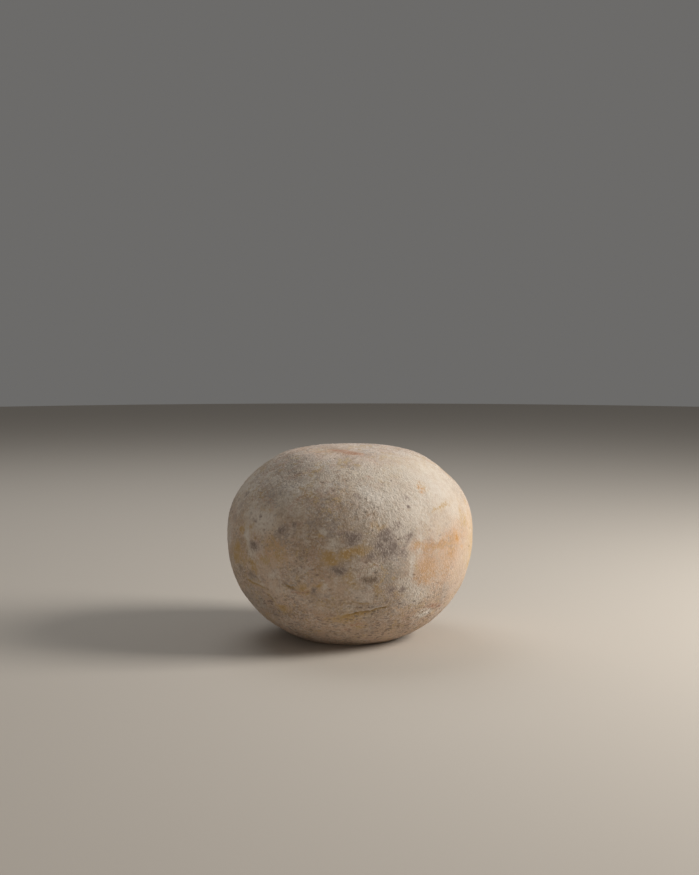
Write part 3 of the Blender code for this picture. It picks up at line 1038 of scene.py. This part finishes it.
def small_pits(tree, at):
    """Pits too small for the mesh: short level dashes in the pitted band, painted dark as their shade and
    pressed in by the bump.
    """
    squashed = at * (1.0, 1.0, 2.0) + noise(at, 3 * MM) * (0.8 * MM)
    gap = cells(squashed, 3.9 * MM)
    chosen = noise(at, 8 * MM, detail=1, shift=0.8) * 0.5
    return eased(gap - chosen, 0.30, 0.16) * attribute(tree, "pitted")


def cloth_imprint(tree, at):
    """The weave that the wrapping cloth has left in patches: above 0 where a thread pressed in."""
    turn = azimuth_of(at)
    height = at.parts()[2] * (math.tau / (2.8 * MM))
    warp = sine(turn * 207)
    weft = sine(height + noise(at, 30 * MM) * 3)
    patches = eased(noise(at, 26 * MM, detail=1, shift=0.4), -0.2, 0.15, 0.15, 1.0)
    return (warp * weft + warp * 0.4) * patches * (1 - attribute(tree, "coarse") * 0.5)


def rind_height(tree, at, grain):
    """Fine height of the rind in metres, on top of the mesh's own relief."""
    grain = grain * (attribute(tree, "coarse") + 0.12) * (0.30 * MM)
    dust = noise(at, 0.7 * MM, detail=2, roughness=0.6) * (0.09 * MM)
    pores = eased(cells(at, 2.3 * MM), 0.22, 0.05) * (-0.08 * MM)
    small = small_pits(tree, at) * (-0.15 * MM)
    return grain + dust + pores + small - cloth_imprint(tree, at) * (0.035 * MM)


def object_coordinates(tree):
    node = tree.nodes.new("ShaderNodeTexCoord")
    return Flow(node.outputs["Object"])


def rind_material():
    material = bpy.data.materials.new("natural_rind")
    material.use_nodes = True
    tree = material.node_tree
    shader = tree.nodes["Principled BSDF"]
    at = object_coordinates(tree)
    grain = ridges(tree, at)
    feed(shader.inputs["Base Color"], rind_colour(tree, at, grain))
    feed(shader.inputs["Roughness"], noise(at, 5 * MM) * 0.16 + 0.84)
    shader.inputs["Specular IOR Level"].default_value = 0.28
    shader.inputs["Diffuse Roughness"].default_value = 0.6
    bump = tree.nodes.new("ShaderNodeBump")
    bump.inputs["Strength"].default_value = 1.0
    bump.inputs["Distance"].default_value = 1.0
    feed(bump.inputs["Height"], rind_height(tree, at, grain))
    feed(shader.inputs["Normal"], Flow(bump.outputs[0]))
    return material


# ---------------------------------------------------------------- the cheese
def make_rind():
    """The whole rind as one closed mesh: turned form, fine relief and stains."""
    ball = made_by(*form_tree(), "ball_form")
    pits = made_by(*pits_tree(), "pit_points", ball.data.copy())
    creases, holes = crease_points(), hole_points()
    mesh = ball.data
    divide_around(mesh, *ROUGHEST)
    divide_around(mesh, *TORN_RIM)
    divide_near(mesh, [vertex.co for vertex in pits.data.vertices], 1.55 * MM)
    spots = [vertex.co for piece in (creases, holes) for vertex in piece.data.vertices]
    divide_near(mesh, spots, 3.6 * MM)
    divide_near(mesh, spots, 1.7 * MM)
    material = rind_material()
    tree, inputs = relief_tree(material)
    inputs = {**inputs, "Pits": pits, "Creases": creases, "Holes": holes}
    rind = made_by(tree, inputs, "cheese_rind", mesh)
    for helper in (ball, pits, creases, holes):
        discard(helper)
    shape = bmesh.new()
    shape.from_mesh(rind.data)
    bmesh.ops.triangulate(shape, faces=shape.faces)
    bmesh.ops.recalc_face_normals(shape, faces=shape.faces)
    shape.to_mesh(rind.data)
    shape.free()
    stain(rind.data)
    rind.data.shade_smooth()
    print("rind triangles", len(rind.data.polygons))
    return rind


# ---------------------------------------------------------------- floor, light and camera
def plain_material(name, colour, roughness):
    material = bpy.data.materials.new(name)
    material.use_nodes = True
    shader = material.node_tree.nodes["Principled BSDF"]
    shader.inputs["Base Color"].default_value = colour
    shader.inputs["Roughness"].default_value = roughness
    return material


def make_floor():
    shape = bmesh.new()
    bmesh.ops.create_circle(shape, cap_ends=True, segments=96, radius=3.0)
    mesh = bpy.data.meshes.new("floor")
    shape.to_mesh(mesh)
    shape.free()
    mesh.materials.append(plain_material("pale_floor", shade_of(0.52, 0.475, 0.42), 0.9))
    floor = bpy.data.objects.new("floor", mesh)
    bpy.context.scene.collection.objects.link(floor)


def make_world():
    world = bpy.data.worlds.new("studio")
    world.use_nodes = True
    background = world.node_tree.nodes["Background"]
    background.inputs["Color"].default_value = shade_of(1.0, 0.98, 0.95)
    background.inputs["Strength"].default_value = 0.15
    bpy.context.scene.world = world
    bpy.context.scene.view_settings.view_transform = "Standard"


def make_light(name, azimuth, elevation, distance, size, power, colour):
    """A soft square light that faces the ball."""
    light = bpy.data.lights.new(name, "AREA")
    light.size = size
    light.energy = power
    light.color = colour
    lamp = bpy.data.objects.new(name, light)
    target = Vector((0, 0, BELT_HEIGHT))
    lamp.location = target + towards(azimuth, elevation) * distance
    lamp.rotation_euler = (target - lamp.location).to_track_quat("-Z", "Y").to_euler()
    bpy.context.scene.collection.objects.link(lamp)


def make_camera():
    camera = bpy.data.cameras.new("camera")
    camera.lens = 59.9
    camera.sensor_width = 36.0
    camera.clip_start = 0.01
    view = bpy.data.objects.new("camera", camera)
    view.location = (-0.0003, -1.092, 0.2393)
    view.rotation_euler = (math.radians(90 - 4.69), 0, 0)
    bpy.context.scene.collection.objects.link(view)
    bpy.context.scene.camera = view


make_camera()
make_floor()
make_world()
make_light("key", 85, 29, 1.2, 0.5, 17.0, (1.0, 0.965, 0.915))
make_light("front_fill", -18, 12, 1.8, 1.2, 2.1, (1.0, 0.83, 0.67))
make_light("back_fill", 204, 54, 1.5, 1.0, 6.0, (0.97, 0.985, 1.0))

rind = make_rind()
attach(rind, "root")
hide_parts("cheese_ball")
